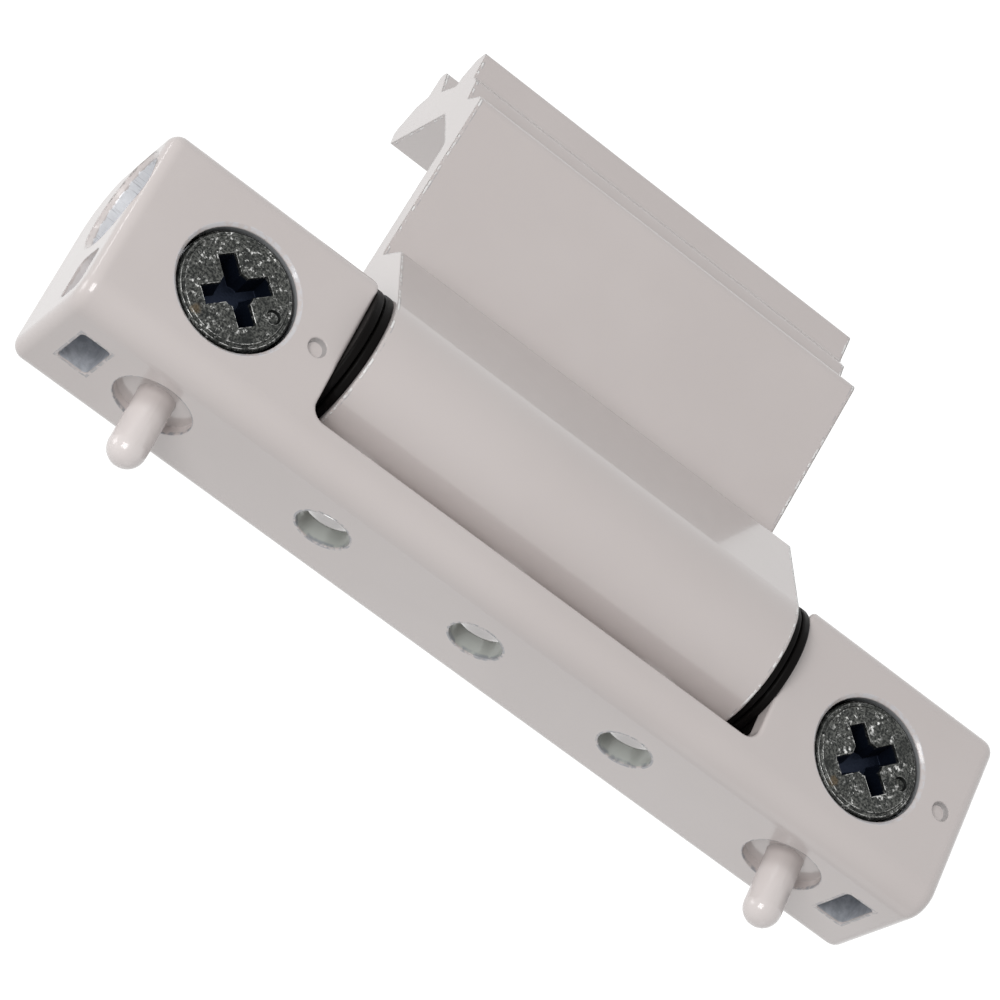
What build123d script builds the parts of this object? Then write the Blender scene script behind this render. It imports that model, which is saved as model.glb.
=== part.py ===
"""Adjustable uPVC door hinge: die-cast frame body, extruded leaf, pin, bushes and eccentric adjusters.

Millimetres. Z runs up along the pin, X points from the mounting face towards the leaf and
-Y is the front. The origin is the centre of the middle fixing hole on the mounting face.
"""

import os
from math import cos, radians, sin, tan

from build123d import *

# Frame body
body_depth = 20.6
body_thickness = 16.4
lug_length = 23.7
spine_thickness = 4.3
front_mount_radius = 3.0
front_far_radius = 1.6
rear_mount_radius = 1.8
rear_far_radius = 6.0
end_edge_radius = 1.4
gap_corner_radius = 1.5
lug_nose_radius = 2.0
nose_run_out = 3.0
nose_slant = 0.7
gap_edge_radius = 0.4

# Pin line
pin_x = 14.2
pin_depth = 5.8
pin_radius = 3.0
pin_engagement = 4.5
pin_chamfer = 0.5

# Carriage pocket in each lug
pocket_wall_x = 4.75
pocket_width = 14.7
pocket_height = 10.45
pocket_front_wall = 1.95
pocket_end_wall = 6.5
pocket_corner_radius = 1.5

# End bore, corner pocket and clip window
end_bore_radius = 5.0
end_bore_mouth = 0.45
corner_pocket_x = 2.2
corner_pocket_width = 4.7
corner_pocket_inset = 2.4
corner_pocket_height = 4.2
corner_pocket_depth = 5.4
corner_pocket_radius = 1.0
window_inset = 4.7
window_y = -0.25
window_height = 3.2
window_width = 5.7
window_depth = 4.0
window_radius = 0.5

# Fixing holes and locating nibs
fixing_pitch = 18.0
fixing_radius = 2.72
fixing_sink_radius = 4.9
fixing_sink_angle = 90
nib_inset = 11.2
nib_radius = 1.9
nib_reach = 7.0
nib_recess_radius = 4.0
nib_recess_depth = 1.0

# Eccentric adjusters
adjuster_x = 10.3
adjuster_inset = 11.46
opening_radius = 6.1
opening_rim = 0.3
opening_under_head = 0.3
head_radius = 5.5
head_sunk = 0.3
head_height = 3.0
head_chamfer = 0.35
recess_span = 7.1
recess_wing = 1.9
recess_depth = 2.4
recess_taper = 11
recess_core_radius = 1.75
mark_radius = 0.75
mark_offset = 4.15
mark_depth = 0.4
mark_taper = 25
cam_radius = 3.0
cam_throw = 1.0
cam_end_clearance = 0.15
journal_radius = 1.8
journal_clearance = 0.06
tail_radius = 2.8
dimple_radius = 1.0
dimple_depth = 0.6
dimple_taper = 20
dimple_offset = 9.0

# Pin carriages
carriage_clearance = 0.05
carriage_travel = 0.9
carriage_side_clearance = 0.15
carriage_corner_radius = 1.6
carriage_end_clearance = 0.3
carriage_head_clearance = 0.2
carriage_step_clearance = 0.36
flange_radius = 7.5
flange_thickness = 0.9
flange_edge_radius = 0.25
flange_end_play = 0.15
slot_clearance = 0.1
slot_half_length = 4.3
pin_fit = 0.02

# Hinge leaf profile, in the plane of its plate: u along the plate, v towards the front
leaf_length = 48.7
leaf_rest_angle = 12.5
barrel_radius = 8.0
barrel_bore_radius = 5.5
arm_angle = 40.0
arm_length = 12.9
arm_thickness = 6.5
arm_root_radius = 1.5
crest_radius = 0.5
plate_top = -11.0
plate_thickness = 2.9
plate_length = 19.7
step_run = 1.08
foot_radius = 0.8
plate_end_radius = 0.9
plate_end_run = 1.0
plate_end_drop = 4.9
neck_run = 2.7
neck_drop = 1.1
shoulder_run = 1.0
shoulder_drop = 1.8
nose_reach = 3.5
nose_fall = 0.9
nose_tip_run = 0.5
nose_tip_drop = 2.1
nose_under_run = 1.9
nose_under_drop = 1.6
ledge_run = 1.0
stem_run = 0.6
stem_drop = 4.6
barb_reach = 3.2
barb_fall = 2.5
barb_height = 1.5
barb_under_run = 2.8
toe_run = 0.7
toe_drop = 2.2
sole_run = 2.7
sole_drop = 2.4
heel_run = 1.85
heel_rise = 1.0
hook_inner_height = 14.6
haunch_run = 5.2
hook_radius = 0.4
toe_radius = 0.6
haunch_radius = 1.5

# Barrel bushes
bush_fit = 0.02
bush_length = 14.0
running_clearance = 0.04

# Cutters run past the faces they cut by this much
overrun = 1.0

# Derived positions
front_y = -body_thickness / 2
rear_y = body_thickness / 2
pin_y = front_y + pin_depth
barrel_end = leaf_length / 2
lug_face = barrel_end + 2 * flange_thickness + flange_end_play
end_face = lug_face + lug_length
pin_end = lug_face + pin_engagement
pocket_end = end_face - pocket_end_wall
pocket_front = front_y + pocket_front_wall
pocket_rear = pocket_front + pocket_height
pocket_centre = (pocket_wall_x + pocket_width / 2, (pocket_front + pocket_rear) / 2)
corner_pocket_centre = (
    corner_pocket_x + corner_pocket_width / 2,
    front_y + corner_pocket_inset + corner_pocket_height / 2,
)
window_z = end_face - window_inset
nib_pitch = 2 * (lug_face + nib_inset)
adjuster_z = lug_face + adjuster_inset
head_back = front_y + head_sunk + head_height
opening_floor = head_back + opening_under_head
cam_end = pocket_rear - cam_end_clearance
carriage_width = pocket_width - 2 * (carriage_travel + carriage_side_clearance)
carriage_height = pocket_height - 2 * carriage_clearance
carriage_end = pocket_end - carriage_end_clearance
carriage_step = adjuster_z - head_radius - carriage_step_clearance
carriage_under_head = head_back + carriage_head_clearance

front_plane = Plane(origin=(0, front_y, 0), x_dir=(1, 0, 0), z_dir=(0, -1, 0))
rear_plane = Plane(origin=(0, rear_y, 0), x_dir=(-1, 0, 0), z_dir=(0, 1, 0))
mount_plane = Plane(origin=(0, 0, 0), x_dir=(0, -1, 0), z_dir=(-1, 0, 0))
spine_plane = Plane(origin=(spine_thickness, 0, 0), x_dir=(0, 1, 0), z_dir=(1, 0, 0))

os.makedirs("parts", exist_ok=True)

# Frame body: one casting, a rounded bar with the leaf gap cut out of its far side
with BuildPart() as frame_body:
    with BuildSketch(Plane.XY):
        with BuildLine():
            FilletPolyline(
                (0, front_y),
                (body_depth, front_y),
                (body_depth, rear_y),
                (0, rear_y),
                radius=[front_mount_radius, front_far_radius, rear_far_radius, rear_mount_radius],
                close=True,
            )
        make_face()
    extrude(amount=end_face, both=True)
    end_rims = frame_body.edges().group_by(Axis.Z)
    fillet(end_rims[0] + end_rims[-1], end_edge_radius)

    # Leaf gap with rounded inner corners and rounded lug noses
    with BuildSketch(front_plane):
        with BuildLine():
            FilletPolyline(
                (body_depth + nose_slant, -lug_face - nose_run_out),
                (body_depth, -lug_face),
                (spine_thickness, -lug_face),
                (spine_thickness, lug_face),
                (body_depth, lug_face),
                (body_depth + nose_slant, lug_face + nose_run_out),
                radius=[lug_nose_radius, gap_corner_radius, gap_corner_radius, lug_nose_radius],
            )
            Line(
                (body_depth + nose_slant, lug_face + nose_run_out),
                (body_depth + nose_slant, -lug_face - nose_run_out),
            )
        make_face()
    extrude(amount=-body_thickness, mode=Mode.SUBTRACT)
    gap_edges = frame_body.edges().filter_by_position(Axis.Z, -lug_face - 0.01, lug_face + 0.01)
    front_gap_edges = gap_edges.filter_by_position(Axis.Y, front_y - 0.01, front_y + 0.01)
    rear_gap_edges = gap_edges.filter_by_position(Axis.Y, rear_y - 0.01, rear_y + 0.01)
    inner_gap = front_gap_edges + rear_gap_edges
    fillet(inner_gap.filter_by_position(Axis.X, spine_thickness - 0.01, body_depth), gap_edge_radius)

    # Pocket for the pin carriage, end bore and corner pocket of each lug
    for side in (1, -1):
        with BuildSketch(Plane.XY.offset(side * lug_face)):
            with Locations(pocket_centre):
                RectangleRounded(pocket_width, pocket_height, pocket_corner_radius)
        extrude(amount=side * (pocket_end - lug_face), mode=Mode.SUBTRACT)
        with BuildSketch(Plane.XY.offset(side * pocket_end)):
            with Locations((pin_x, pin_y)):
                Circle(end_bore_radius)
        extrude(amount=side * pocket_end_wall, mode=Mode.SUBTRACT)
        with BuildSketch(Plane.XY.offset(side * end_face)):
            with Locations((pin_x, pin_y)):
                Circle(end_bore_radius + end_bore_mouth)
        extrude(amount=-side * 2 * end_bore_mouth, taper=45, mode=Mode.SUBTRACT)
        with BuildSketch(Plane.XY.offset(side * end_face)):
            with Locations(corner_pocket_centre):
                RectangleRounded(corner_pocket_width, corner_pocket_height, corner_pocket_radius)
        extrude(amount=-side * corner_pocket_depth, mode=Mode.SUBTRACT)

    # Clip windows, nib recesses and locating nibs on the mounting face
    with BuildSketch(mount_plane):
        with Locations((-window_y, window_z), (-window_y, -window_z)):
            RectangleRounded(window_width, window_height, window_radius)
    extrude(amount=-window_depth, mode=Mode.SUBTRACT)
    with BuildSketch(mount_plane):
        with GridLocations(0, nib_pitch, 1, 2):
            Circle(nib_recess_radius)
    extrude(amount=-nib_recess_depth, mode=Mode.SUBTRACT)
    with BuildSketch(mount_plane.offset(-nib_recess_depth - overrun)):
        with GridLocations(0, nib_pitch, 1, 2):
            Circle(nib_radius)
    extrude(amount=nib_reach - nib_radius + nib_recess_depth + overrun)
    with Locations(mount_plane.offset(nib_reach - nib_radius)):
        with GridLocations(0, nib_pitch, 1, 2):
            Sphere(nib_radius)

    # Fixing holes, countersunk from the barrel side
    with Locations(spine_plane):
        with GridLocations(0, fixing_pitch, 1, 3):
            CounterSinkHole(
                radius=fixing_radius,
                counter_sink_radius=fixing_sink_radius,
                depth=spine_thickness,
                counter_sink_angle=fixing_sink_angle,
            )

    # Adjuster openings, index dimples and tail holes
    with BuildSketch(front_plane):
        with Locations((adjuster_x, adjuster_z), (adjuster_x, -adjuster_z)):
            Circle(opening_radius)
    extrude(amount=front_y - opening_floor, mode=Mode.SUBTRACT)
    with BuildSketch(front_plane):
        with Locations((adjuster_x, adjuster_z), (adjuster_x, -adjuster_z)):
            Circle(opening_radius + opening_rim)
    extrude(amount=-opening_rim, taper=45, mode=Mode.SUBTRACT)
    with BuildSketch(front_plane):
        with Locations(
            (adjuster_x, adjuster_z - dimple_offset),
            (adjuster_x, -adjuster_z - dimple_offset),
        ):
            Circle(dimple_radius)
    extrude(amount=-dimple_depth, taper=dimple_taper, mode=Mode.SUBTRACT)
    with Locations(rear_plane):
        with Locations((-adjuster_x, adjuster_z), (-adjuster_x, -adjuster_z)):
            CounterSinkHole(
                radius=journal_radius + journal_clearance,
                counter_sink_radius=tail_radius + 2 * journal_clearance,
                depth=rear_y - pocket_rear + overrun,
                counter_sink_angle=90,
            )

frame_body.part.label = "frame_body"
export_step(frame_body.part, "parts/frame_body.step")

# Hinge leaf: one extrusion, drawn in the plane of its plate with the barrel about the pin
rest = radians(leaf_rest_angle)
leaf_plane = Plane(origin=(pin_x, pin_y, 0), x_dir=(cos(rest), -sin(rest), 0), z_dir=(0, 0, -1))
arm_normal = Vector(cos(radians(arm_angle)), sin(radians(arm_angle)))
arm_along = Vector(arm_normal.Y, -arm_normal.X)
arm_start = arm_normal * barrel_radius
arm_inside = arm_normal * (barrel_radius - arm_thickness)
plate_bottom = plate_top - plate_thickness
crest = arm_start + arm_along * arm_length
foot = Vector(crest.X + step_run, plate_top)
plate_end = foot + Vector(plate_length, 0)
neck_root = plate_end + Vector(plate_end_run, -plate_end_drop)
neck = neck_root + Vector(neck_run, -neck_drop)
shoulder = neck + Vector(shoulder_run, -shoulder_drop)
nose = shoulder + Vector(nose_reach, -nose_fall)
nose_tip = nose + Vector(-nose_tip_run, -nose_tip_drop)
nose_under = nose_tip + Vector(-nose_under_run, -nose_under_drop)
ledge = nose_under + Vector(-ledge_run, 0)
stem = ledge + Vector(stem_run, -stem_drop)
barb = stem + Vector(barb_reach, -barb_fall)
barb_under = barb + Vector(0, -barb_height)
barb_root = barb_under + Vector(-barb_under_run, 0)
toe = barb_root + Vector(-toe_run, -toe_drop)
sole = toe + Vector(-sole_run, -sole_drop)
heel = sole + Vector(-heel_run, heel_rise)
hook_root = heel + Vector(0, hook_inner_height)
haunch = Vector(plate_end.X - haunch_run, plate_bottom)
arm_heel = Vector(arm_inside.X + (arm_inside.Y - plate_bottom) * tan(radians(arm_angle)), plate_bottom)

with BuildPart() as hinge_leaf:
    with BuildSketch(leaf_plane) as leaf_section:
        Circle(barrel_radius)
        with BuildLine():
            FilletPolyline(
                arm_start,
                crest,
                foot,
                plate_end,
                neck_root,
                neck,
                shoulder,
                nose,
                nose_tip,
                nose_under,
                ledge,
                stem,
                barb,
                barb_under,
                barb_root,
                toe,
                sole,
                heel,
                hook_root,
                haunch,
                arm_heel,
                arm_inside,
                radius=[0, crest_radius, foot_radius, plate_end_radius]
                + [toe_radius] * 4
                + [hook_radius] * 7
                + [toe_radius] * 3
                + [haunch_radius, haunch_radius, arm_root_radius, 0],
                close=True,
            )
        make_face()
        on_barrel = leaf_section.vertices().filter_by(
            lambda v: abs((v.X**2 + v.Y**2) ** 0.5 - barrel_radius) < 0.01
        )
        fillet(on_barrel.sort_by(Axis.Y)[0], arm_root_radius)
    extrude(amount=barrel_end, both=True)
    with BuildSketch(leaf_plane):
        Circle(barrel_bore_radius)
    extrude(amount=barrel_end, both=True, mode=Mode.SUBTRACT)

hinge_leaf.part.label = "hinge_leaf"
export_step(hinge_leaf.part, "parts/hinge_leaf.step")

# Hinge pin: plain steel rod with chamfered ends
with BuildPart() as hinge_pin:
    with BuildSketch(Plane.XY):
        with Locations((pin_x, pin_y)):
            Circle(pin_radius)
    extrude(amount=pin_end, both=True)
    chamfer(hinge_pin.edges().filter_by(GeomType.CIRCLE), pin_chamfer)

hinge_pin.part.label = "hinge_pin"
export_step(hinge_pin.part, "parts/hinge_pin.step")

# Flanged bush in each end of the barrel
for bush_name, side in (("upper_barrel_bush", 1), ("lower_barrel_bush", -1)):
    with BuildPart() as barrel_bush:
        with BuildSketch(Plane.XY.offset(side * barrel_end)):
            with Locations((pin_x, pin_y)):
                Circle(flange_radius)
        extrude(amount=side * flange_thickness)
        flange_rims = barrel_bush.edges().filter_by(GeomType.CIRCLE)
        fillet(flange_rims, flange_edge_radius)
        with BuildSketch(Plane.XY.offset(side * barrel_end)):
            with Locations((pin_x, pin_y)):
                Circle(barrel_bore_radius - bush_fit)
        extrude(amount=-side * (bush_length - flange_thickness))
        with BuildSketch(Plane.XY):
            with Locations((pin_x, pin_y)):
                Circle(pin_radius + running_clearance)
        extrude(amount=end_face, both=True, mode=Mode.SUBTRACT)
    barrel_bush.part.label = bush_name
    export_step(barrel_bush.part, f"parts/{bush_name}.step")

# Pin carriage in each lug: flange on the lug face, block holding the pin, fork round the cam
for carriage_name, side in (("upper_pin_carriage", 1), ("lower_pin_carriage", -1)):
    with BuildPart() as pin_carriage:
        with BuildSketch(Plane.XY.offset(side * lug_face)):
            with Locations((pin_x, pin_y)):
                Circle(flange_radius)
        extrude(amount=-side * flange_thickness)
        fillet(pin_carriage.edges().filter_by(GeomType.CIRCLE), flange_edge_radius)
        with BuildSketch(Plane.XY.offset(side * lug_face)):
            with Locations(pocket_centre):
                RectangleRounded(carriage_width, carriage_height, carriage_corner_radius)
        extrude(amount=side * (carriage_end - lug_face))

        # Step under the adjuster head
        step_depth = carriage_under_head - front_y
        with BuildSketch(Plane.XY.offset(side * carriage_step)):
            with Locations((pocket_centre[0], front_y + step_depth / 2)):
                Rectangle(pocket_width, step_depth)
        extrude(amount=side * (pocket_end - carriage_step), mode=Mode.SUBTRACT)

        # Fork slot for the cam, round at its inner end and open outwards
        slot_radius = cam_radius + slot_clearance
        slot_start = adjuster_z - slot_half_length + slot_radius
        slot_reach = pocket_end - slot_start
        with BuildSketch(front_plane):
            with Locations((adjuster_x, side * slot_start)):
                Circle(slot_radius)
            with Locations((adjuster_x, side * (slot_start + slot_reach / 2))):
                Rectangle(2 * slot_radius, slot_reach)
        extrude(amount=-body_thickness, mode=Mode.SUBTRACT)

        # Hole for the pin, running out through the fork so the pin can be put in from the end
        with BuildSketch(Plane.XY.offset(side * (lug_face - flange_thickness))):
            with Locations((pin_x, pin_y)):
                Circle(pin_radius + pin_fit)
        extrude(amount=side * (pocket_end - lug_face + flange_thickness), mode=Mode.SUBTRACT)
    pin_carriage.part.label = carriage_name
    export_step(pin_carriage.part, f"parts/{carriage_name}.step")

# Eccentric adjuster in each lug: slotted head, offset cam, journal and riveted tail
for adjuster_name, side in (("upper_adjuster", 1), ("lower_adjuster", -1)):
    centre = (adjuster_x, side * adjuster_z)
    with BuildPart() as adjuster:
        with BuildSketch(front_plane.offset(-head_sunk)):
            with Locations(centre):
                Circle(head_radius)
        extrude(amount=-head_height)
        head_rims = adjuster.edges().filter_by(GeomType.CIRCLE).sort_by(Axis.Y)
        chamfer(head_rims[0], head_chamfer)
        with BuildSketch(front_plane.offset(-head_sunk - head_height)):
            with Locations((centre[0], centre[1] - cam_throw)):
                Circle(cam_radius)
        extrude(amount=head_back - cam_end)
        with BuildSketch(front_plane.offset(front_y - cam_end)):
            with Locations(centre):
                Circle(journal_radius)
        extrude(amount=cam_end - rear_y)
        with BuildSketch(rear_plane):
            with Locations((-centre[0], centre[1])):
                Circle(tail_radius)
        extrude(amount=-(tail_radius - journal_radius), taper=45)

        # Cross recess: two tapered slots crossing at a conical core
        for turn in (45, 135):
            with BuildSketch(front_plane.offset(-head_sunk)):
                with Locations(Location(centre, turn)):
                    Rectangle(recess_span, recess_wing)
            extrude(amount=-recess_depth, taper=recess_taper, mode=Mode.SUBTRACT)
        with BuildSketch(front_plane.offset(-head_sunk)):
            with Locations(centre):
                Circle(recess_core_radius)
        extrude(amount=-recess_depth, taper=recess_taper, mode=Mode.SUBTRACT)

        # Index mark on the head
        with BuildSketch(front_plane.offset(-head_sunk)):
            with Locations((centre[0], centre[1] - mark_offset)):
                Circle(mark_radius)
        extrude(amount=-mark_depth, taper=mark_taper, mode=Mode.SUBTRACT)
    adjuster.part.label = adjuster_name
    export_step(adjuster.part, f"parts/{adjuster_name}.step")
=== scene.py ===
"""Looks of an adjustable uPVC door hinge: coated casting and leaf, zinc adjusters, black bearings, studio."""

import logging
import math
from dataclasses import dataclass, field
from enum import Enum

import bmesh
import bpy
from mathutils import Euler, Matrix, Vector


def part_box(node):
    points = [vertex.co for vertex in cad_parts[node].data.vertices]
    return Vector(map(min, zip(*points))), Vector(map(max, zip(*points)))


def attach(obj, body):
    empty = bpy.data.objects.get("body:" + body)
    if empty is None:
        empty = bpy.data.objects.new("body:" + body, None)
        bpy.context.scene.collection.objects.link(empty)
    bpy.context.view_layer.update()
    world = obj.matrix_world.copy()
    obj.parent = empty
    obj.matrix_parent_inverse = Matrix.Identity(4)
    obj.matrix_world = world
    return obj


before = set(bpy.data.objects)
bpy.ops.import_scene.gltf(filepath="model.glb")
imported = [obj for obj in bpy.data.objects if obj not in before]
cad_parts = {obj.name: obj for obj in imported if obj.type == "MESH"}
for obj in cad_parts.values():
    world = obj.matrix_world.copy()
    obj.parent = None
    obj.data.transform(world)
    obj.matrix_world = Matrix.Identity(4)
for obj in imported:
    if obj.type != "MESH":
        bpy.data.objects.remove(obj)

LOG = logging.getLogger("hinge")
MM = 0.001
WHITE = (1.0, 1.0, 1.0, 1.0)

Colour = tuple[float, float, float]
Point = tuple[float, float, float]
Corners = tuple[Point, Point]
Ramp = tuple[float, float]
Socket = bpy.types.NodeSocket


class Axis(Enum):
    """One of the row frame's axes, by its index."""

    X = 0
    Y = 1
    Z = 2


@dataclass(frozen=True)
class Grain:
    """A noise pattern.

    Its fields are the millimetres from one lump to the next, the octaves of finer grain, the strength of each
    finer octave, the number that picks the pattern, and the ramp of its values over which it shows.
    """

    size: float
    detail: float = 2.0
    rough: float = 0.5
    seed: float = 0.0
    shows: Ramp = (0.0, 1.0)


class NodeGraph:
    """A material's node tree, with one short call for each kind of node that the finishes use.

    Lengths inside a graph are millimetres in the row frame, read from Object coordinates.
    """

    edge_turn: Ramp = (0.985, 0.90)
    edge_samples: int = 8
    rounding_samples: int = 6

    def __init__(self, name: str) -> None:
        """Starts an empty material with one Principled shader.

        Args:
            name: The material's name.
        """
        self.material = bpy.data.materials.new(name)
        self.material.use_nodes = True
        self.tree = self.material.node_tree
        self.tree.nodes.clear()
        output = self.add("ShaderNodeOutputMaterial")
        self.shader = self.add("ShaderNodeBsdfPrincipled")
        self.link(self.shader.outputs["BSDF"], output.inputs["Surface"])
        coords = self.add("ShaderNodeTexCoord")
        scaled = self.add("ShaderNodeVectorMath", operation="SCALE")
        scaled.inputs["Scale"].default_value = 1.0 / MM
        self.link(coords.outputs["Object"], scaled.inputs[0])
        self.place = scaled.outputs["Vector"]
        split = self.add("ShaderNodeSeparateXYZ")
        self.link(self.place, split.inputs[0])
        self.x, self.y, self.z = split.outputs

    def add(self, kind: str, **settings: object) -> bpy.types.Node:
        """Adds a node and sets its properties.

        Args:
            kind: The node's type name.
            settings: Properties of the node and their values.

        Returns:
            The new node.
        """
        node = self.tree.nodes.new(kind)
        for name, value in settings.items():
            setattr(node, name, value)
        return node

    def link(self, source: Socket, target: Socket) -> None:
        """Joins an output to an input."""
        self.tree.links.new(source, target)

    def feed(self, target: Socket, value: Socket | float | Point) -> None:
        """Links a socket to an input, or sets a plain value on it.

        Args:
            target: The input.
            value: The socket or the plain value.
        """
        if isinstance(value, bpy.types.NodeSocket):
            self.link(value, target)
        else:
            target.default_value = value

    def math(self, operation: str, *values: Socket | float) -> Socket:
        """Adds a Math node.

        Args:
            operation: The Math node's operation.
            values: Its inputs, sockets or numbers.

        Returns:
            The result's socket.
        """
        node = self.add("ShaderNodeMath", operation=operation)
        for target, value in zip(node.inputs, values):
            self.feed(target, value)
        return node.outputs["Value"]

    def product(self, *values: Socket | float) -> Socket:
        """Multiplies several masks.

        Args:
            values: The masks, sockets or numbers.

        Returns:
            The product's socket.
        """
        total = values[0]
        for value in values[1:]:
            total = self.math("MULTIPLY", total, value)
        return total

    def either(self, *values: Socket | float) -> Socket:
        """Takes the largest of several masks.

        Args:
            values: The masks, sockets or numbers.

        Returns:
            The largest one's socket.
        """
        total = values[0]
        for value in values[1:]:
            total = self.math("MAXIMUM", total, value)
        return total

    def less(self, mask: Socket, hole: Socket) -> Socket:
        """Takes one mask out of another."""
        return self.math("MULTIPLY", mask, self.math("SUBTRACT", 1.0, hole))

    def step(self, value: Socket, low: float, high: float) -> Socket:
        """Rises smoothly from 0 at low to 1 at high, or falls where low is the larger.

        Args:
            value: What is measured.
            low: Where the step is 0.
            high: Where the step is 1.

        Returns:
            The step's socket.
        """
        node = self.add("ShaderNodeMapRange", interpolation_type="SMOOTHSTEP", clamp=True)
        falling = low > high
        self.link(value, node.inputs["Value"])
        node.inputs["From Min"].default_value = min(low, high)
        node.inputs["From Max"].default_value = max(low, high)
        node.inputs["To Min"].default_value = 1.0 if falling else 0.0
        node.inputs["To Max"].default_value = 0.0 if falling else 1.0
        return node.outputs["Result"]

    def past(self, value: Socket, base: float, ramp: Ramp) -> Socket:
        """Steps over a ramp whose ends are measured from base."""
        return self.step(value, base + ramp[0], base + ramp[1])

    def band(self, value: Socket, centre: float, half: float, soft: float) -> Socket:
        """Is 1 within half of centre and fades over soft beyond it."""
        off = self.math("ABSOLUTE", self.math("SUBTRACT", value, centre))
        return self.step(off, half + soft, half)

    def twin_boxes(self, corners: Corners, grow: float, soft: float) -> Socket:
        """Is 1 inside a box and the one that mirrors it below the middle, both grown by a margin.

        Args:
            corners: Lowest and highest corner of the box above the middle.
            grow: The margin.
            soft: Width of the fade outside it.

        Returns:
            The mask's socket.
        """
        places = (self.x, self.y, self.math("ABSOLUTE", self.z))
        parts = [
            self.band(place, (low + high) / 2, (high - low) / 2 + grow, soft)
            for place, low, high in zip(places, *corners)
        ]
        return self.product(*parts)

    def radius(self, axis: Axis, centre: Point) -> Socket:
        """Distance from a line along an axis.

        Args:
            axis: The line's direction.
            centre: A point on it.

        Returns:
            The distance's socket.
        """
        squares = [
            self.math("POWER", self.math("ABSOLUTE", self.math("SUBTRACT", value, c)), 2.0)
            for i, (value, c) in enumerate(zip((self.x, self.y, self.z), centre))
            if i != axis.value
        ]
        return self.math("SQRT", self.math("ADD", *squares))

    def noise(self, grain: Grain, seed: float = 0.0) -> Socket:
        """Noise of a given grain.

        Args:
            grain: The pattern.
            seed: Picks a piece's own version of it.

        Returns:
            The noise's socket, about 0 to 1.
        """
        node = self.add("ShaderNodeTexNoise", noise_dimensions="4D")
        self.link(self.place, node.inputs["Vector"])
        node.inputs["Scale"].default_value = 1.0 / grain.size
        node.inputs["Detail"].default_value = grain.detail
        node.inputs["Roughness"].default_value = grain.rough
        node.inputs["W"].default_value = grain.seed + seed
        return node.outputs["Fac"]

    def patches(self, grain: Grain, seed: float = 0.0) -> Socket:
        """Patches where a noise pattern shows."""
        return self.step(self.noise(grain, seed), *grain.shows)

    def dots(self, pitch: float, size: float, seed: float) -> Socket:
        """Scattered round specks.

        Args:
            pitch: Millimetres between neighbouring specks.
            size: A speck's radius in millimetres.
            seed: Picks another pattern.

        Returns:
            The mask's socket.
        """
        node = self.add("ShaderNodeTexVoronoi", voronoi_dimensions="4D", feature="F1")
        self.link(self.place, node.inputs["Vector"])
        node.inputs["Scale"].default_value = 1.0 / pitch
        node.inputs["W"].default_value = seed
        return self.step(node.outputs["Distance"], size / pitch, 0.5 * size / pitch)

    def edges(self, reach: float) -> Socket:
        """Is 1 along edges and 0 on the flats between them.

        Args:
            reach: Millimetres from an edge to where the mask ends.

        Returns:
            The mask's socket.
        """
        rounded = self.add("ShaderNodeBevel", samples=self.edge_samples)
        rounded.inputs["Radius"].default_value = reach * MM
        flat = self.add("ShaderNodeNewGeometry")
        turn = self.add("ShaderNodeVectorMath", operation="DOT_PRODUCT")
        self.link(rounded.outputs["Normal"], turn.inputs[0])
        self.link(flat.outputs["Normal"], turn.inputs[1])
        return self.step(turn.outputs["Value"], *self.edge_turn)

    def blend(self, amount: Socket, below: Socket | Colour, above: Socket | Colour) -> Socket:
        """Mixes two colours.

        Args:
            amount: 0 gives below and 1 gives above.
            below: A colour, or a colour socket.
            above: A colour, or a colour socket.

        Returns:
            The mixed colour's socket.
        """
        node = self.add("ShaderNodeMix", data_type="RGBA", clamp_factor=True)
        self.link(amount, node.inputs["Factor"])
        for name, value in (("A", below), ("B", above)):
            target = next(s for s in node.inputs if s.name == name and s.type == "RGBA")
            self.feed(target, value if isinstance(value, bpy.types.NodeSocket) else (*value, 1.0))
        return next(s for s in node.outputs if s.type == "RGBA")

    def colour(self, value: Socket) -> None:
        """Gives the shader its colour."""
        self.link(value, self.shader.inputs["Base Color"])

    def roughness(self, pattern: Socket, spread: float, mean: float, extra: Socket | None = None) -> None:
        """Gives the shader a roughness that follows a pattern.

        Args:
            pattern: The pattern, 0 to 1.
            spread: How far the roughness goes from the pattern's 0 to its 1.
            mean: The roughness half way.
            extra: Roughness that some places have on top.
        """
        rough = self.math("ADD", self.math("MULTIPLY", pattern, spread), mean - spread / 2)
        if extra is not None:
            rough = self.math("ADD", rough, extra)
        self.link(rough, self.shader.inputs["Roughness"])

    def relief(self, height: Socket, depth: float, rounding: float) -> None:
        """Gives the shader a bump over softly rounded edges.

        Args:
            height: The relief, 0 to 1.
            depth: Millimetres from 0 to 1.
            rounding: Radius of the rounded edges in millimetres.
        """
        edges = self.add("ShaderNodeBevel", samples=self.rounding_samples)
        edges.inputs["Radius"].default_value = rounding * MM
        node = self.add("ShaderNodeBump")
        node.inputs["Distance"].default_value = depth * MM
        self.link(edges.outputs["Normal"], node.inputs["Normal"])
        self.link(height, node.inputs["Height"])
        self.link(node.outputs["Normal"], self.shader.inputs["Normal"])

    def gloss(self, **values: float) -> None:
        """Sets plain values on the shader's own sockets, by their names with spaces as underscores."""
        for name, value in values.items():
            self.shader.inputs[name.replace("_", " ")].default_value = value


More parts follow.
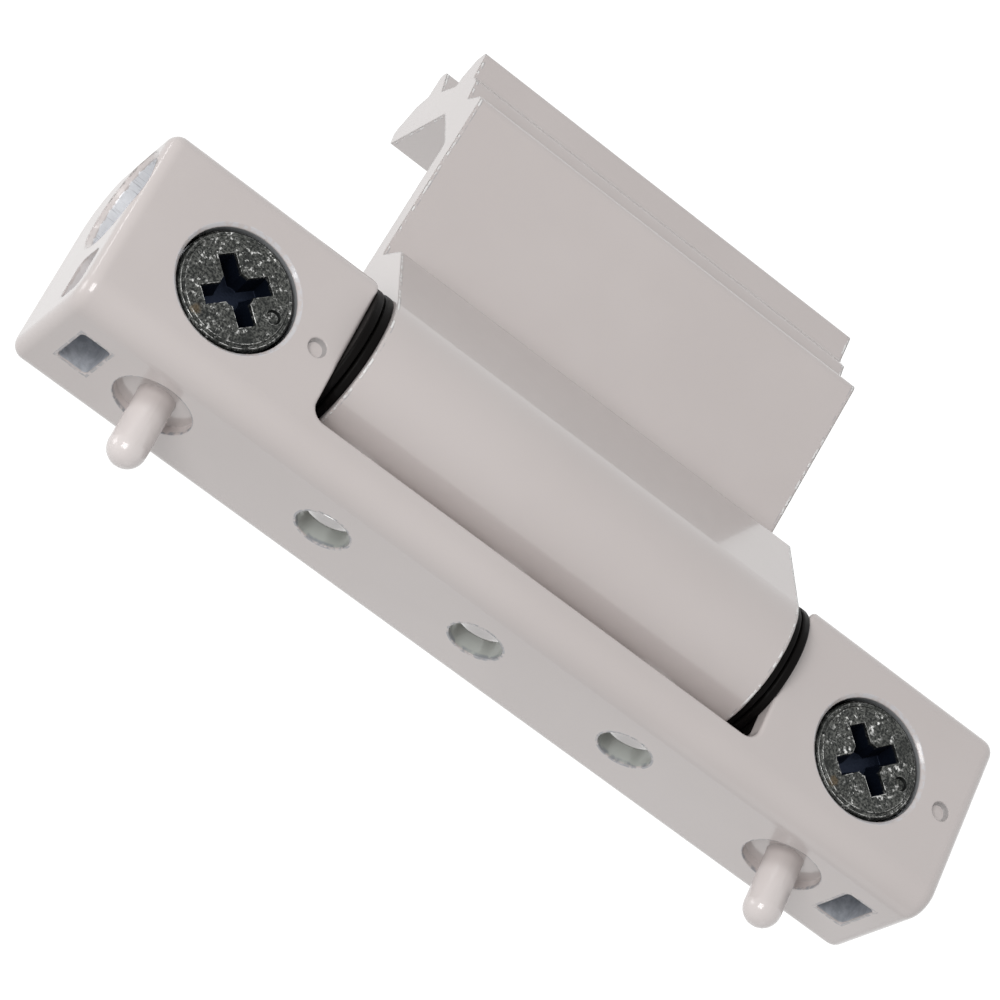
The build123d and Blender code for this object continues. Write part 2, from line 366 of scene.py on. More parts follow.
@dataclass(frozen=True)
class PowderCoat:
    """Warm off-white gloss powder coat with fine orange peel and a little dust in it."""

    colour: Colour = (0.598, 0.546, 0.531)
    shade: Colour = (0.578, 0.526, 0.511)
    cloud: Grain = Grain(16.0, 3.0, 0.55, shows=(0.35, 0.68))
    dust: Colour = (0.20, 0.155, 0.13)
    dust_pitch: float = 7.0
    dust_size: float = 0.11
    dust_cover: float = 0.7
    peel: Grain = Grain(0.9, seed=9.0)
    peel_depth: float = 0.006
    smear: Grain = Grain(5.0, seed=4.0)
    smear_spread: float = 0.08
    roughness: float = 0.20
    edge_rounding: float = 0.25
    pits: Grain = Grain(0.3, 3.0, 0.6, 8.0)
    bare_roughness: float = 0.20
    bare_metal: float = 0.3
    bead_height: float = 8.0

    def start(self, name: str, seed: float) -> tuple[NodeGraph, Socket]:
        """Makes the coat's material, ready for a piece's own marks.

        Args:
            name: The material's name.
            seed: Picks the piece's own cloudiness and dust.

        Returns:
            The node graph and the coat's colour socket.
        """
        graph = NodeGraph(name)
        colour = graph.blend(graph.patches(self.cloud, seed), self.shade, self.colour)
        specks = graph.dots(self.dust_pitch, self.dust_size, seed)
        return graph, graph.blend(graph.product(specks, self.dust_cover), colour, self.dust)

    def close(self, graph: NodeGraph, colour: Socket, bead: Socket, bare: Socket | None = None) -> None:
        """Joins the finished colour, gloss and orange peel to the shader.

        Args:
            graph: The material's node graph.
            colour: The colour with the piece's marks on it.
            bead: Where the coat ends in a raised bead.
            bare: Where bare casting shows, if anywhere.
        """
        graph.colour(colour)
        height = graph.noise(self.peel)
        rougher = None
        if bare is not None:
            rougher = graph.product(bare, self.bare_roughness)
            graph.link(graph.product(bare, self.bare_metal), graph.shader.inputs["Metallic"])
            height = graph.math("ADD", height, graph.product(bare, graph.noise(self.pits)))
        graph.roughness(graph.noise(self.smear), self.smear_spread, self.roughness, rougher)
        height = graph.math("ADD", height, graph.product(bead, self.bead_height))
        graph.relief(height, self.peel_depth, self.edge_rounding)
        graph.gloss(IOR=1.5, Coat_Weight=0.5, Coat_Roughness=0.07)


@dataclass(frozen=True)
class AdjusterSizes:
    """Sizes of an eccentric adjuster in its lug, in millimetres."""

    axis_x: float = 10.3
    axis_z: float = 37.76
    head_front: float = -7.9
    head_radius: float = 5.5
    rim_profile: tuple[tuple[float, float], ...] = (
        (5.30, -7.72), (5.56, -7.80), (5.74, -7.68), (5.80, -7.48), (5.80, -5.60), (5.30, -5.60)
    )
    rim_steps: int = 96
    rim_crease_deg: float = 50.0
    stain_offset: tuple[float, float] = (-4.2, 2.4)
    stain_radius: float = 0.55
    mark_offset: float = 4.15
    mark_radius: float = 0.75


@dataclass(frozen=True)
class ZincPlate:
    """Dull dark zinc plate: fine grain, an index mark, one rusty spot, wear with a painted highlight on its
    -X edges, and painted shade in the recess and on the mark's wall.

    The ramps are millimetres from the adjuster's axis, from the front of its head, or from the rim of its
    head, stain or index mark.
    """

    colour: Colour = (0.105, 0.108, 0.100)
    # Dark zinc for the grain and dull patches, and for the painted shade on the index mark's wall.
    dark: Colour = (0.020, 0.022, 0.021)
    # Light zinc for flecks and edge wear, and for the painted highlight on the -X edges.
    wear_and_highlight: Colour = (0.80, 0.80, 0.78)
    stain: Colour = (0.12, 0.080, 0.035)
    # Colour of the painted shade in the cross recess.
    recess: Colour = (0.009, 0.014, 0.028)
    grain: Grain = Grain(0.24, rough=0.65, shows=(0.40, 0.62))
    patches: Grain = Grain(2.2, 3.0, 0.6, 3.0, (0.46, 0.66))
    patch_cover: float = 0.75
    flecks: Grain = Grain(0.42, 3.0, 0.7, 7.0, (0.54, 0.66))
    clusters: Grain = Grain(1.5, 2.0, 0.6, 9.0, (0.42, 0.62))
    beads: Grain = Grain(0.5, 2.0, 0.6, 5.0, (0.42, 0.58))
    rags: Grain = Grain(0.5, 3.0, 0.6, 11.0)
    # Painted highlight ramp: the edges brighten towards -X, the side facing the key light.
    near_side_highlight: Ramp = (1.0, -3.5)
    far_side_wear: float = 0.25
    front_edge: Ramp = (0.6, 0.3)
    stain_fade: Ramp = (0.6, 0.2)
    recess_start: Ramp = (0.10, 0.5)
    recess_floor: Ramp = (3.2, 2.8)
    recess_width: Ramp = (-0.6, -1.0)
    mark_edge: Ramp = (0.05, 0.15)
    mark_wall_half: float = 0.09
    mark_wall_fade: float = 0.03
    mark_start: Ramp = (0.02, 0.08)
    mark_floor: Ramp = (0.7, 0.6)
    roughness: float = 0.42
    grain_spread: float = 0.2
    grain_depth: float = 0.04
    edge_rounding: float = 0.12
    edge_reach: float = 0.17

    def dress(self, name: str, size: AdjusterSizes, centre_z: float, seed: float) -> bpy.types.Material:
        """Makes one adjuster's material.

        Args:
            name: The material's name.
            size: The adjuster's sizes.
            centre_z: Where its axis is along the pin.
            seed: Picks its own grain and wear.

        Returns:
            The material.
        """
        graph = NodeGraph(name)
        grain = graph.noise(self.grain, seed)
        patches = graph.noise(self.patches, seed)
        colour = graph.blend(graph.step(grain, *self.grain.shows), self.dark, self.colour)
        dull = graph.product(graph.step(patches, *self.patches.shows), self.patch_cover)
        colour = graph.blend(dull, colour, self.dark)
        flecks = graph.product(graph.patches(self.flecks, seed), graph.patches(self.clusters, seed))
        colour = graph.blend(flecks, colour, self.wear_and_highlight)

        spot_x, spot_z = size.stain_offset
        spot = graph.radius(Axis.Y, (size.axis_x + spot_x, 0.0, centre_z + spot_z))
        ragged = graph.math("ADD", spot, graph.noise(self.rags, seed))
        rust = graph.past(ragged, size.stain_radius, self.stain_fade)
        colour = graph.blend(graph.product(rust, grain), colour, self.stain)

        radius = graph.radius(Axis.Y, (size.axis_x, 0.0, centre_z))
        mark = graph.radius(Axis.Y, (size.axis_x, 0.0, centre_z - size.mark_offset))
        # Painted shade: the cross recess turns near-black below the head's front, standing in for the shade
        # inside it.
        inside = graph.product(
            graph.past(graph.y, size.head_front, self.recess_start),
            graph.past(graph.y, size.head_front, self.recess_floor),
            graph.past(radius, size.head_radius, self.recess_width),
            graph.past(mark, size.mark_radius, self.mark_edge),
        )
        colour = graph.blend(inside, colour, self.recess)
        # Painted shade: a dark band on the index mark's wall.
        mark_middle = size.mark_radius - self.mark_wall_half
        mark_wall_shade = graph.product(
            graph.band(mark, mark_middle, self.mark_wall_half, self.mark_wall_fade),
            graph.past(graph.y, size.head_front, self.mark_start),
            graph.past(graph.y, size.head_front, self.mark_floor),
        )
        colour = graph.blend(mark_wall_shade, colour, self.dark)

        # Wear on the head's edges, with a painted highlight that brightens them towards -X, the lit side.
        edge_wear_and_highlight = graph.product(
            graph.edges(self.edge_reach),
            graph.patches(self.beads, seed),
            graph.math("ADD", graph.past(graph.x, size.axis_x, self.near_side_highlight), self.far_side_wear),
            graph.past(graph.y, size.head_front, self.front_edge),
        )
        graph.colour(graph.blend(edge_wear_and_highlight, colour, self.wear_and_highlight))
        graph.roughness(grain, self.grain_spread, self.roughness)
        graph.relief(graph.math("ADD", grain, patches), self.grain_depth, self.edge_rounding)
        graph.gloss(Metallic=0.8)
        return graph.material


@dataclass(frozen=True)
class SatinPlastic:
    """Black moulded plastic with a fine satin grain."""

    colour: Colour = (0.0042, 0.0036, 0.0034)
    scuff: Colour = (0.010, 0.0095, 0.0095)
    scuffs: Grain = Grain(1.9, 3.0, 0.6, shows=(0.56, 0.74))
    smear: Grain = Grain(0.9)
    smear_spread: float = 0.2
    roughness: float = 0.42
    pores: Grain = Grain(0.25, rough=0.6, seed=2.0)
    pore_depth: float = 0.008
    edge_rounding: float = 0.1

    def dress(self, name: str, seed: float) -> bpy.types.Material:
        """Makes a black piece's material.

        Args:
            name: The material's name.
            seed: Picks its own grain.

        Returns:
            The material.
        """
        graph = NodeGraph(name)
        graph.colour(graph.blend(graph.patches(self.scuffs, seed), self.colour, self.scuff))
        graph.roughness(graph.noise(self.smear, seed), self.smear_spread, self.roughness)
        graph.relief(graph.noise(self.pores, seed), self.pore_depth, self.edge_rounding)
        graph.gloss(IOR=1.47, Specular_IOR_Level=0.06)
        return graph.material


@dataclass(frozen=True)
class GroundSteel:
    """Ground steel pin with fine rings round it."""

    colour: Colour = (0.52, 0.53, 0.55)
    dull: Colour = (0.36, 0.365, 0.38)
    ring_pitch: float = 0.35
    ring_depth: float = 0.006
    ring_spread: float = 0.15
    roughness: float = 0.295
    edge_rounding: float = 0.1

    def dress(self, name: str) -> bpy.types.Material:
        """Makes the pin's material.

        Args:
            name: The material's name.

        Returns:
            The material.
        """
        graph = NodeGraph(name)
        rings = graph.add("ShaderNodeTexNoise", noise_dimensions="1D")
        graph.link(graph.z, rings.inputs["W"])
        rings.inputs["Scale"].default_value = 1.0 / self.ring_pitch
        lines = rings.outputs["Fac"]
        graph.colour(graph.blend(lines, self.dull, self.colour))
        graph.roughness(lines, self.ring_spread, self.roughness)
        graph.relief(lines, self.ring_depth, self.edge_rounding)
        graph.gloss(Metallic=1.0)
        return graph.material


@dataclass
class SubAssembly:
    """Pieces that are dressed together."""

    finish: object

    def wear(self, node: str, material: bpy.types.Material, slot: str) -> None:
        """Gives a solid its material.

        Args:
            node: The solid's name.
            material: Its finish.
            slot: The record's material slot that the finish belongs to; not used.
        """
        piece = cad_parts[node]
        piece.data.materials.clear()
        piece.data.materials.append(material)
        LOG.info("%s wears %s", node, material.name)


@dataclass
class BodyPaint:
    """The body's coat while its marks are put on.

    Its fields are the node graph, the colour so far, the distance above or below the middle, an uneven line
    that the coat's edges follow, and patches that break up the lines round openings.
    """

    graph: NodeGraph
    colour: Socket
    depth: Socket
    wander: Socket
    broken: Socket

    def lay(self, mask: Socket, tint: Socket | Colour, cover: float = 1.0) -> None:
        """Puts a colour on where a mask is 1.

        Args:
            mask: Where the colour goes.
            tint: The colour.
            cover: How much of the coat below it hides.
        """
        mask = self.graph.product(mask, cover) if cover < 1.0 else mask
        self.colour = self.graph.blend(mask, self.colour, tint)


@dataclass
class FrameBody(SubAssembly):
    """The die-cast body: coated outside, bare casting in its openings, pockets and windows.

    Sizes are millimetres. A ramp is measured from the face, wall or radius that its mark follows.
    """

    finish: PowderCoat = field(default_factory=PowderCoat)
    bare: Colour = (0.88, 0.89, 0.92)
    bare_line: Colour = (0.30, 0.31, 0.33)
    window_metal: Colour = (0.54, 0.56, 0.60)
    well_shade: Colour = (0.34, 0.35, 0.36)
    hole_wall: Colour = (0.46, 0.48, 0.45)
    dimple_wall: Colour = (0.36, 0.35, 0.35)
    # Lighter colour for the painted light on the nibs.
    nib_painted_light: Colour = (0.70, 0.645, 0.63)
    rim_line: Colour = (0.25, 0.27, 0.30)
    rim_light: Colour = (0.62, 0.65, 0.70)
    # Darker line along the far side of the bore's lip.
    far_lip_dark: Colour = (0.27, 0.25, 0.24)

    coat_edge: Grain = Grain(0.9, 3.0, 0.6, 2.0)
    coat_wander: float = 0.7
    breaks: Grain = Grain(0.7, 3.0, 0.6, 12.0, (0.40, 0.56))
    mottle: Grain = Grain(0.8, 3.0, 0.6, 3.0, (0.40, 0.62))
    mottle_cover: float = 0.45
    streak_scale: Point = (5.0, 5.0, 0.35)
    streak_shows: Ramp = (0.58, 0.70)
    streak_cover: float = 0.4

    front: float = -8.2
    end: float = 50.0
    end_brink: Ramp = (-0.3, -0.1)
    box_skin: float = 0.05
    box_fade: float = 0.04
    line_overlap: float = 0.02

    bore_centre: Point = (14.2, -2.4, 0.0)
    bore_radius: float = 5.0
    bore_mouth: float = 0.45
    bore_skin: Ramp = (0.12, 0.05)
    bore_start: Ramp = (-0.1, 0.0)
    bore_coat_edge: Ramp = (-0.45, -0.60)
    lip_half: float = 0.08
    lip_far_side: Ramp = (15.0, 16.5)
    lip_cover: float = 0.8
    carriage_pocket: Corners = ((4.75, -6.25, 26.4), (19.45, 4.2, 43.5))

    window: Corners = ((0.0, -3.1, 43.7), (4.0, 2.6, 46.9))
    window_skin: float = 0.04
    window_coat_edge: Ramp = (0.10, 0.22)
    window_wander: float = 0.5
    window_line: float = 0.22
    window_line_fade: float = 0.1
    window_line_cover: float = 0.55

    corner_pocket: Corners = ((2.2, -5.8, 44.6), (6.9, -1.6, 50.0))
    pocket_coat_edge: Ramp = (-0.10, -0.30)
    pocket_light_cover: float = 0.35
    pocket_line: float = 0.16
    pocket_line_cover: float = 0.6

    dimple_offset: float = 9.0
    dimple_radius: float = 0.90
    dimple_half: float = 0.12
    dimple_fade: float = 0.05
    dimple_start: Ramp = (0.04, 0.12)
    dimple_floor: Ramp = (1.2, 0.8)
    dimple_cover: float = 0.8

    hole_radius: float = 2.72
    hole_pitch: float = 18.0
    hole_skin: Ramp = (0.06, 0.02)
    hole_start: Ramp = (0.12, 0.25)
    hole_bareness: float = 0.5
    hole_line: float = 0.08
    hole_line_half: float = 0.10
    hole_line_fade: float = 0.08
    hole_line_depth: Ramp = (0.6, 0.3)
    hole_line_cover: float = 0.75

    nib_z: float = 37.5
    nib_reach: Ramp = (2.2, 2.0)
    nib_start: Ramp = (-0.2, -2.0)
    nib_recess: float = 4.0
    recess_line_half: float = 0.05
    recess_line_fade: float = 0.06
    recess_line_depth: Ramp = (0.45, 0.2)
    recess_line_start: Ramp = (-0.3, -0.1)
    recess_line_cover: float = 0.7

    adjuster: AdjusterSizes = AdjusterSizes()
    adjuster_opening: float = 6.1
    mouth_width: float = 0.2
    mouth_half: float = 0.14
    mouth_fade: float = 0.06
    mouth_depth: Ramp = (0.5, 0.3)
    mouth_cover: float = 0.45
    well_skin: Ramp = (0.08, 0.02)
    well_start: Ramp = (0.3, 0.5)
    well_floor: Ramp = (4.2, 3.9)

    def dress(self) -> None:
        """Coats the body, leaves its insides bare, draws the lines round its openings, and paints light on
        its nibs and corner pockets and shade on its dimples and adjuster wells.
        """
        graph, colour = self.finish.start("body_coat", 1.0)
        uneven = graph.math("SUBTRACT", graph.noise(self.coat_edge), 0.5)
        paint = BodyPaint(
            graph,
            colour,
            graph.math("ABSOLUTE", graph.z),
            graph.product(uneven, self.coat_wander),
            graph.patches(self.breaks),
        )
        opening, lip = self.bare_openings(paint)
        window, window_line = self.bare_windows(paint)
        self.lighten_corner_pockets(paint)
        self.mark_dimples(paint)
        hole = self.mark_fixing_holes(paint)
        self.mark_nibs(paint)
        self.mark_adjuster_openings(paint)
        bare = graph.either(opening, window, graph.product(hole, self.hole_bareness))
        bead = graph.either(
            graph.product(window_line, paint.broken), graph.product(lip, paint.broken)
        )
        self.finish.close(graph, paint.colour, bead, bare)
        self.wear("frame_body", graph.material, "white_coat")

    def box_line(self, graph: NodeGraph, corners: Corners, width: float, fade: float) -> Socket:
        """Is 1 in a thin line round a box and round the one that mirrors it.

        Args:
            graph: The coat's node graph.
            corners: Lowest and highest corner of the box above the middle.
            width: The line's width.
            fade: Width of the fade outside it.

        Returns:
            The mask's socket.
        """
        inner = graph.twin_boxes(corners, self.line_overlap, self.box_fade)
        return graph.less(graph.twin_boxes(corners, width, fade), inner)

    def bare_openings(self, paint: BodyPaint) -> tuple[Socket, Socket]:
        """Leaves the end bores and the carriages' pockets bare.

        Args:
            paint: The body's coat.

        Returns:
            The masks of the bare metal and of the bores' lips.
        """
        graph = paint.graph
        bore = graph.radius(Axis.Z, self.bore_centre)
        bore_wall = graph.product(
            graph.past(bore, self.bore_radius, self.bore_skin),
            graph.past(paint.depth, self.carriage_pocket[1][2], self.bore_start),
            graph.past(graph.math("ADD", paint.depth, paint.wander), self.end, self.bore_coat_edge),
        )
        pocket = graph.twin_boxes(self.carriage_pocket, self.box_skin, self.box_fade)
        opening = graph.either(bore_wall, pocket)
        drawn = graph.add("ShaderNodeMapping")
        drawn.inputs["Scale"].default_value = self.streak_scale
        graph.link(graph.place, drawn.inputs["Vector"])
        lines = graph.add("ShaderNodeTexNoise", noise_dimensions="3D")
        lines.inputs["Scale"].default_value = 1.0
        graph.link(drawn.outputs["Vector"], lines.inputs["Vector"])
        streaks = graph.product(graph.step(lines.outputs["Fac"], *self.streak_shows), self.streak_cover)
        paint.lay(opening, graph.blend(streaks, self.bare, self.bare_line))
        lip = graph.product(
            graph.band(bore, self.bore_radius + self.bore_mouth, self.lip_half, self.lip_half),
            graph.past(paint.depth, self.end, self.end_brink),
        )
        # A darker line along the far side of the bore's lip.
        far_lip = graph.product(lip, graph.step(graph.x, *self.lip_far_side), paint.broken)
        paint.lay(far_lip, self.far_lip_dark, self.lip_cover)
        return opening, lip

    def bare_windows(self, paint: BodyPaint) -> tuple[Socket, Socket]:
        """Leaves the clip windows bare and draws a line round them.

        Args:
            paint: The body's coat.

        Returns:
            The masks of the bare metal and of the line.
        """
        graph = paint.graph
        coat_edge = graph.math("ADD", graph.x, graph.product(paint.wander, self.window_wander))
        window = graph.product(
            graph.twin_boxes(self.window, self.window_skin, self.box_fade),
            graph.step(coat_edge, *self.window_coat_edge),
        )
        mottle = graph.product(graph.patches(self.mottle), self.mottle_cover)
        paint.lay(window, graph.blend(mottle, self.window_metal, self.rim_line))
        line = self.box_line(graph, self.window, self.window_line, self.window_line_fade)
        paint.lay(graph.product(line, paint.broken), self.rim_line, self.window_line_cover)
        return window, line

    def lighten_corner_pockets(self, paint: BodyPaint) -> None:
        """Paints light into the corner pockets as a thin layer of the pale bare-metal colour, and draws a
        line round them.

        Args:
            paint: The body's coat.
        """
        graph = paint.graph
        pocket = graph.product(
            graph.twin_boxes(self.corner_pocket, self.box_skin, self.box_fade),
            graph.past(graph.math("ADD", paint.depth, paint.wander), self.end, self.pocket_coat_edge),
        )
        # Painted light: the pale colour laid thinly over the coat lifts the shade inside the pockets.
        paint.lay(pocket, self.bare, self.pocket_light_cover)
        line = graph.product(
            self.box_line(graph, self.corner_pocket, self.pocket_line, self.box_fade),
            graph.past(paint.depth, self.end, self.end_brink),
            paint.broken,
        )
        paint.lay(line, self.rim_line, self.pocket_line_cover)

    def mark_dimples(self, paint: BodyPaint) -> None:
        """Shades the walls of the index dimples on the front.

        Args:
            paint: The body's coat.
        """
        graph = paint.graph
        for side in (1, -1):
            place = side * self.adjuster.axis_z - self.dimple_offset
            across = graph.radius(Axis.Y, (self.adjuster.axis_x, 0.0, place))
            wall = graph.product(
                graph.band(across, self.dimple_radius, self.dimple_half, self.dimple_fade),
                graph.past(graph.y, self.front, self.dimple_start),
                graph.past(graph.y, self.front, self.dimple_floor),
            )
            paint.lay(wall, self.dimple_wall, self.dimple_cover)

    def mark_fixing_holes(self, paint: BodyPaint) -> Socket:
        """Shades the walls of the fixing holes and draws a line round each.

        Args:
            paint: The body's coat.

        Returns:
            The mask of the walls.
        """
        graph = paint.graph
        walls = []
        lines = []
        for row in (-1, 0, 1):
            radius = graph.radius(Axis.X, (0.0, 0.0, row * self.hole_pitch))
            walls.append(
                graph.product(
                    graph.past(radius, self.hole_radius, self.hole_skin),
                    graph.step(graph.x, *self.hole_start),
                )
            )
            line_radius = self.hole_radius + self.hole_line
            lines.append(
                graph.product(
                    graph.band(radius, line_radius, self.hole_line_half, self.hole_line_fade),
                    graph.step(graph.x, *self.hole_line_depth),
                )
            )
        hole = graph.either(*walls)
        paint.lay(hole, self.hole_wall)
        paint.lay(graph.product(graph.either(*lines), paint.broken), self.rim_line, self.hole_line_cover)
        return hole

    def mark_nibs(self, paint: BodyPaint) -> None:
        """Paints light onto the nibs as a lighter coat colour and draws a line round their recesses.

        Args:
            paint: The body's coat.
        """
        graph = paint.graph
        for side in (1, -1):
            radius = graph.radius(Axis.X, (0.0, 0.0, side * self.nib_z))
            nib_light = graph.product(
                graph.step(radius, *self.nib_reach), graph.step(graph.x, *self.nib_start)
            )
            # Painted light: the lighter colour stands in for the light the nibs catch.
            paint.lay(nib_light, self.nib_painted_light)
            line = graph.product(
                graph.band(radius, self.nib_recess, self.recess_line_half, self.recess_line_fade),
                graph.step(graph.x, *self.recess_line_depth),
                graph.step(graph.x, *self.recess_line_start),
                paint.broken,
            )
            paint.lay(line, self.rim_line, self.recess_line_cover)

    def mark_adjuster_openings(self, paint: BodyPaint) -> None:
        """Lightens the mouth of each adjuster's opening and shades its well.

        Args:
            paint: The body's coat.
        """
        graph = paint.graph
        for side in (1, -1):
            radius = graph.radius(Axis.Y, (self.adjuster.axis_x, 0.0, side * self.adjuster.axis_z))
            mouth_radius = self.adjuster_opening + self.mouth_width
            mouth = graph.product(
                graph.band(radius, mouth_radius, self.mouth_half, self.mouth_fade),
                graph.past(graph.y, self.front, self.mouth_depth),
                paint.broken,
            )
            paint.lay(mouth, self.rim_light, self.mouth_cover)
            well = graph.product(
                graph.past(radius, self.adjuster_opening, self.well_skin),
                graph.past(graph.y, self.front, self.well_start),
                graph.past(graph.y, self.front, self.well_floor),
            )
            paint.lay(well, self.well_shade)


@dataclass
class HingeLeaf(SubAssembly):
    """The extruded leaf, coated all over, with raised beads of coat along its sawn ends, painted lighter as a
    highlight, and a painted shade line just inside them.
    """

    finish: PowderCoat = field(default_factory=lambda: PowderCoat(edge_rounding=0.45))
    # Painted highlight on the end beads, and the painted shade line beside them.
    bead_highlight: Colour = (0.84, 0.83, 0.82)
    bead_shade_line: Colour = (0.36, 0.36, 0.38)
    beads: Grain = Grain(0.8, 3.0, 0.6, 14.0, (0.48, 0.56))
    gaps: Grain = Grain(0.9, 3.0, 0.6, 17.0, (0.50, 0.60))
    bead_inset: float = 0.16
    bead_half: float = 0.08
    line_half: float = 0.03
    line_fade: float = 0.05
    shade_line_cover: float = 0.6

    def dress(self) -> None:
        """Coats the leaf, with a painted highlight on its end beads and a painted shade line beside them."""
        graph, colour = self.finish.start("leaf_coat", 5.0)
        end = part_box("hinge_leaf")[1][2] / MM
        depth = graph.math("ABSOLUTE", graph.z)
        bead_band = graph.band(depth, end - self.bead_inset, self.bead_half, self.bead_half)
        bead = graph.product(bead_band, graph.patches(self.beads))
        line_band = graph.band(depth, end - 2 * self.bead_inset, self.line_half, self.line_fade)
        line = graph.product(line_band, graph.patches(self.gaps), self.shade_line_cover)
        # Painted shade line just inside each end, and a painted highlight on the beads.
        colour = graph.blend(line, colour, self.bead_shade_line)
        colour = graph.blend(bead, colour, self.bead_highlight)
        self.finish.close(graph, colour, bead)
        self.wear("hinge_leaf", graph.material, "white_coat")


@dataclass
class Adjusters(SubAssembly):
    """The two cross-recess adjusters, each with the rim that nearly fills its opening."""

    finish: ZincPlate = field(default_factory=ZincPlate)
    size: AdjusterSizes = field(default_factory=AdjusterSizes)

    def build_rim(self, name: str, centre_z: float) -> bpy.types.Object:
        """Turns the rim round an adjuster's head.

        Args:
            name: The rim's name.
            centre_z: Where its axis is along the pin.

        Returns:
            The rim's object.
        """
        centre = Vector((self.size.axis_x, 0.0, centre_z))
        shape = bmesh.new()
        profile = [shape.verts.new((centre + Vector((r, y, 0.0))) * MM) for r, y in self.size.rim_profile]
        edges = [shape.edges.new(pair) for pair in zip(profile, profile[1:] + profile[:1])]
        bmesh.ops.spin(
            shape,
            geom=profile + edges,
            cent=centre * MM,
            axis=(0.0, 1.0, 0.0),
            angle=math.tau,
            steps=self.size.rim_steps,
            use_merge=True,
        )
        bmesh.ops.recalc_face_normals(shape, faces=shape.faces)
        mesh = bpy.data.meshes.new(name)
        shape.to_mesh(mesh)
        shape.free()
        mesh.shade_smooth()
        mesh.set_sharp_from_angle(angle=math.radians(self.size.rim_crease_deg))
        rim = bpy.data.objects.new(name, mesh)
        bpy.context.scene.collection.objects.link(rim)
        return rim

    def dress(self) -> None:
        """Plates both adjusters and gives each its rim."""
        for node, side, seed in (("upper_adjuster", 1.0, 1.0), ("lower_adjuster", -1.0, 23.0)):
            centre_z = side * self.size.axis_z
            material = self.finish.dress(f"{node}_zinc", self.size, centre_z, seed)
            self.wear(node, material, "zinc")
            rim = self.build_rim(f"{node}_rim", centre_z)
            rim.data.materials.append(material)
            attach(rim, node)
            LOG.info("%s rides on %s", rim.name, node)


@dataclass
class Bearings(SubAssembly):
    """The black bushes and carriages and the pin that they carry."""

    finish: SatinPlastic = field(default_factory=SatinPlastic)
    pin_finish: GroundSteel = field(default_factory=GroundSteel)

    def dress(self) -> None:
        """Gives the black pieces their grain and the pin its rings."""
        for seed, node in enumerate(
            ("upper_pin_carriage", "lower_pin_carriage", "upper_barrel_bush", "lower_barrel_bush")
        ):
            self.wear(node, self.finish.dress(f"{node}_plastic", float(seed)), "black_plastic")
        self.wear("hinge_pin", self.pin_finish.dress("pin_steel"), "steel")


@dataclass(frozen=True)
class SoftLight:
    """One soft box of the studio, in metres."""

    name: str
    place: Point
    level: float
    width: float
    height: float

    def build(self, target: Vector) -> bpy.types.Object:
        """Makes the lamp.

        Args:
            target: What it points at.

        Returns:
            The lamp's object.
        """
        away = Vector(self.place) - target
        lamp = bpy.data.lights.new(self.name, "AREA")
        lamp.shape = "RECTANGLE"
        lamp.size = self.width
        lamp.size_y = self.height
        lamp.energy = self.level * math.pi**2 * away.length_squared
        light = bpy.data.objects.new(self.name, lamp)
        bpy.context.scene.collection.objects.link(light)
        light.location = self.place
        light.rotation_euler = away.to_track_quat("Z", "Y").to_euler()
        return light


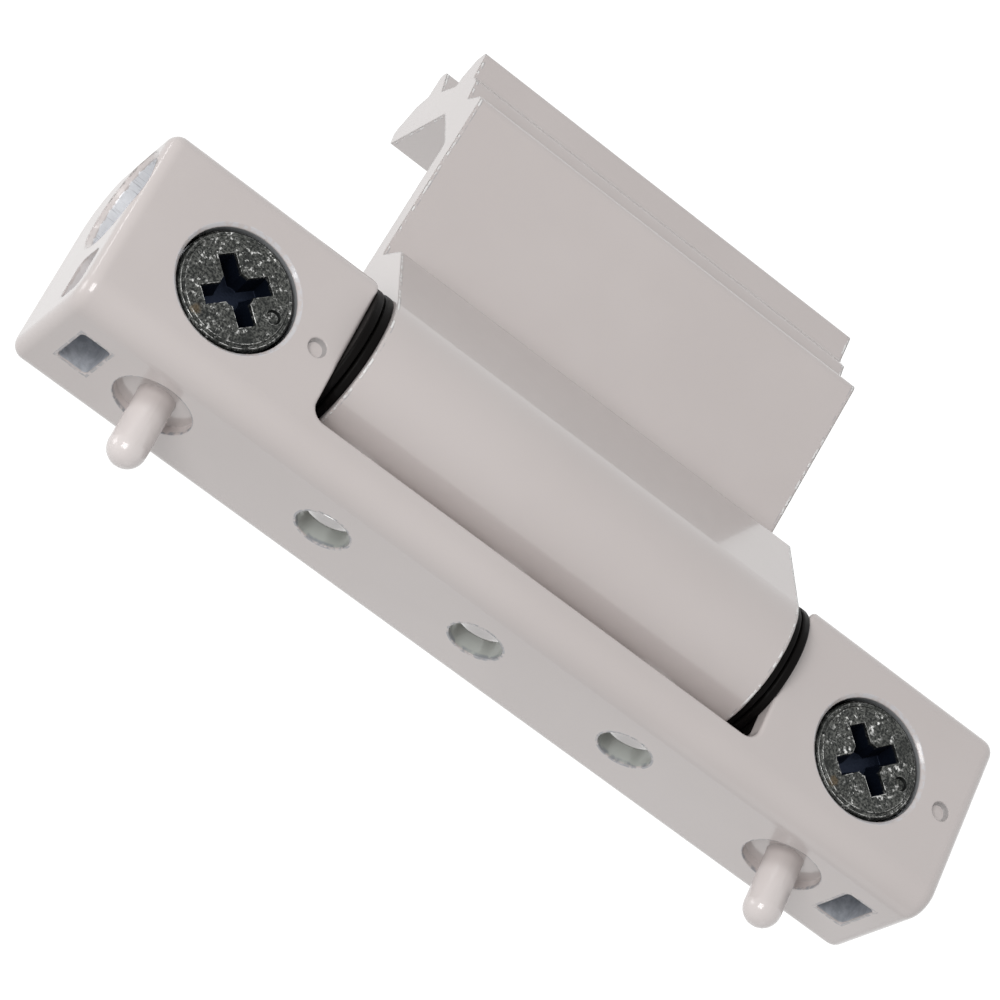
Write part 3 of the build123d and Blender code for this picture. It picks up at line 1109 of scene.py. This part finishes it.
@dataclass
class Studio:
    """Pale floor, soft lights, white surround and the camera, in metres and degrees."""

    target: Point = (0.009, 0.0, 0.0)
    ambient: float = 0.52
    floor_height: float = -0.60
    floor_half: float = 6.0
    floor_squares: int = 4
    floor_colour: Colour = (0.80, 0.80, 0.80)
    floor_glow: float = 0.72
    camera_place: Point = (-0.17836847, -0.30130691, 0.10223307)
    camera_turn: Point = (65.2887202, 50.71883595, -52.17397713)
    lens_mm: float = 141.83683636
    sensor_mm: float = 36.0
    nearest: float = 0.01
    farthest: float = 50.0
    lights: tuple[SoftLight, ...] = (
        SoftLight("front_soft_box", (-0.17, -0.38, 0.28), 0.51, 0.25, 0.25),
        SoftLight("side_strip", (-0.3135, 0.6195, -0.23), 0.006, 0.10, 0.30),
        SoftLight("under_soft_box", (-0.50, 0.20, -0.36), 0.02, 0.30, 0.30),
        SoftLight("top_soft_box", (0.0, 0.06, 0.65), 0.14, 0.25, 0.25),
        SoftLight("edge_strip", (0.415, -0.02, 0.68), 0.03, 0.04, 0.25),
    )

    def build(self) -> None:
        """Makes the whole studio."""
        self.build_world()
        self.build_floor()
        for light in self.lights:
            light.build(Vector(self.target))
            LOG.info("%s lit", light.name)
        self.build_camera()
        bpy.context.scene.view_settings.view_transform = "Standard"

    def seen(self, tree: bpy.types.NodeTree) -> Socket:
        """Is 1 for rays that show the surround itself: camera, glossy and transmission rays.

        Args:
            tree: The node tree that asks.

        Returns:
            The mask's socket.
        """
        path = tree.nodes.new("ShaderNodeLightPath")
        total = path.outputs["Is Camera Ray"]
        for name in ("Is Glossy Ray", "Is Transmission Ray"):
            either = tree.nodes.new("ShaderNodeMath")
            either.operation = "MAXIMUM"
            tree.links.new(total, either.inputs[0])
            tree.links.new(path.outputs[name], either.inputs[1])
            total = either.outputs["Value"]
        return total

    def build_world(self) -> None:
        """Makes a surround that looks white and lights the object softly from all round."""
        world = bpy.data.worlds.new("studio_surround")
        world.use_nodes = True
        bpy.context.scene.world = world
        tree = world.node_tree
        tree.nodes.clear()
        output = tree.nodes.new("ShaderNodeOutputWorld")
        mix = tree.nodes.new("ShaderNodeMixShader")
        tree.links.new(self.seen(tree), mix.inputs["Fac"])
        for index, strength in ((1, self.ambient), (2, 1.0)):
            background = tree.nodes.new("ShaderNodeBackground")
            background.inputs["Color"].default_value = WHITE
            background.inputs["Strength"].default_value = strength
            tree.links.new(background.outputs["Background"], mix.inputs[index])
        tree.links.new(mix.outputs["Shader"], output.inputs["Surface"])

    def build_floor(self) -> None:
        """Makes the floor."""
        mesh = bpy.data.meshes.new("studio_floor")
        shape = bmesh.new()
        squares = self.floor_squares
        bmesh.ops.create_grid(shape, x_segments=squares, y_segments=squares, size=self.floor_half)
        bmesh.ops.translate(shape, verts=shape.verts, vec=(0.0, 0.0, self.floor_height))
        shape.to_mesh(mesh)
        shape.free()
        floor = bpy.data.objects.new("studio_floor", mesh)
        bpy.context.scene.collection.objects.link(floor)
        mesh.materials.append(self.floor_finish())

    def floor_finish(self) -> bpy.types.Material:
        """Makes the floor's material: pale, shaded by the object, white where nothing shades it.

        Returns:
            The material.
        """
        material = bpy.data.materials.new("pale_floor")
        material.use_nodes = True
        tree = material.node_tree
        tree.nodes.clear()
        output = tree.nodes.new("ShaderNodeOutputMaterial")
        both = tree.nodes.new("ShaderNodeAddShader")
        matt = tree.nodes.new("ShaderNodeBsdfDiffuse")
        matt.inputs["Color"].default_value = (*self.floor_colour, 1.0)
        glow = tree.nodes.new("ShaderNodeEmission")
        glow.inputs["Color"].default_value = WHITE
        share = tree.nodes.new("ShaderNodeMath")
        share.operation = "MULTIPLY"
        share.inputs[1].default_value = self.floor_glow
        tree.links.new(self.seen(tree), share.inputs[0])
        tree.links.new(share.outputs["Value"], glow.inputs["Strength"])
        tree.links.new(matt.outputs["BSDF"], both.inputs[0])
        tree.links.new(glow.outputs["Emission"], both.inputs[1])
        tree.links.new(both.outputs["Shader"], output.inputs["Surface"])
        return material

    def build_camera(self) -> None:
        """Puts the camera where the photograph was taken from."""
        data = bpy.data.cameras.new("photo_camera")
        data.sensor_width = self.sensor_mm
        data.lens = self.lens_mm
        data.clip_start = self.nearest
        data.clip_end = self.farthest
        camera = bpy.data.objects.new("photo_camera", data)
        camera.location = self.camera_place
        camera.rotation_euler = Euler([math.radians(a) for a in self.camera_turn], "XYZ")
        bpy.context.scene.collection.objects.link(camera)
        bpy.context.scene.camera = camera


def main() -> None:
    """Dresses every sub-assembly, then sets up the studio."""
    logging.basicConfig(level=logging.INFO, format="%(name)s: %(message)s")
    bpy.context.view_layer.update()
    FrameBody().dress()
    HingeLeaf().dress()
    Adjusters().dress()
    Bearings().dress()
    Studio().build()


if __name__ == "__main__":
    main()
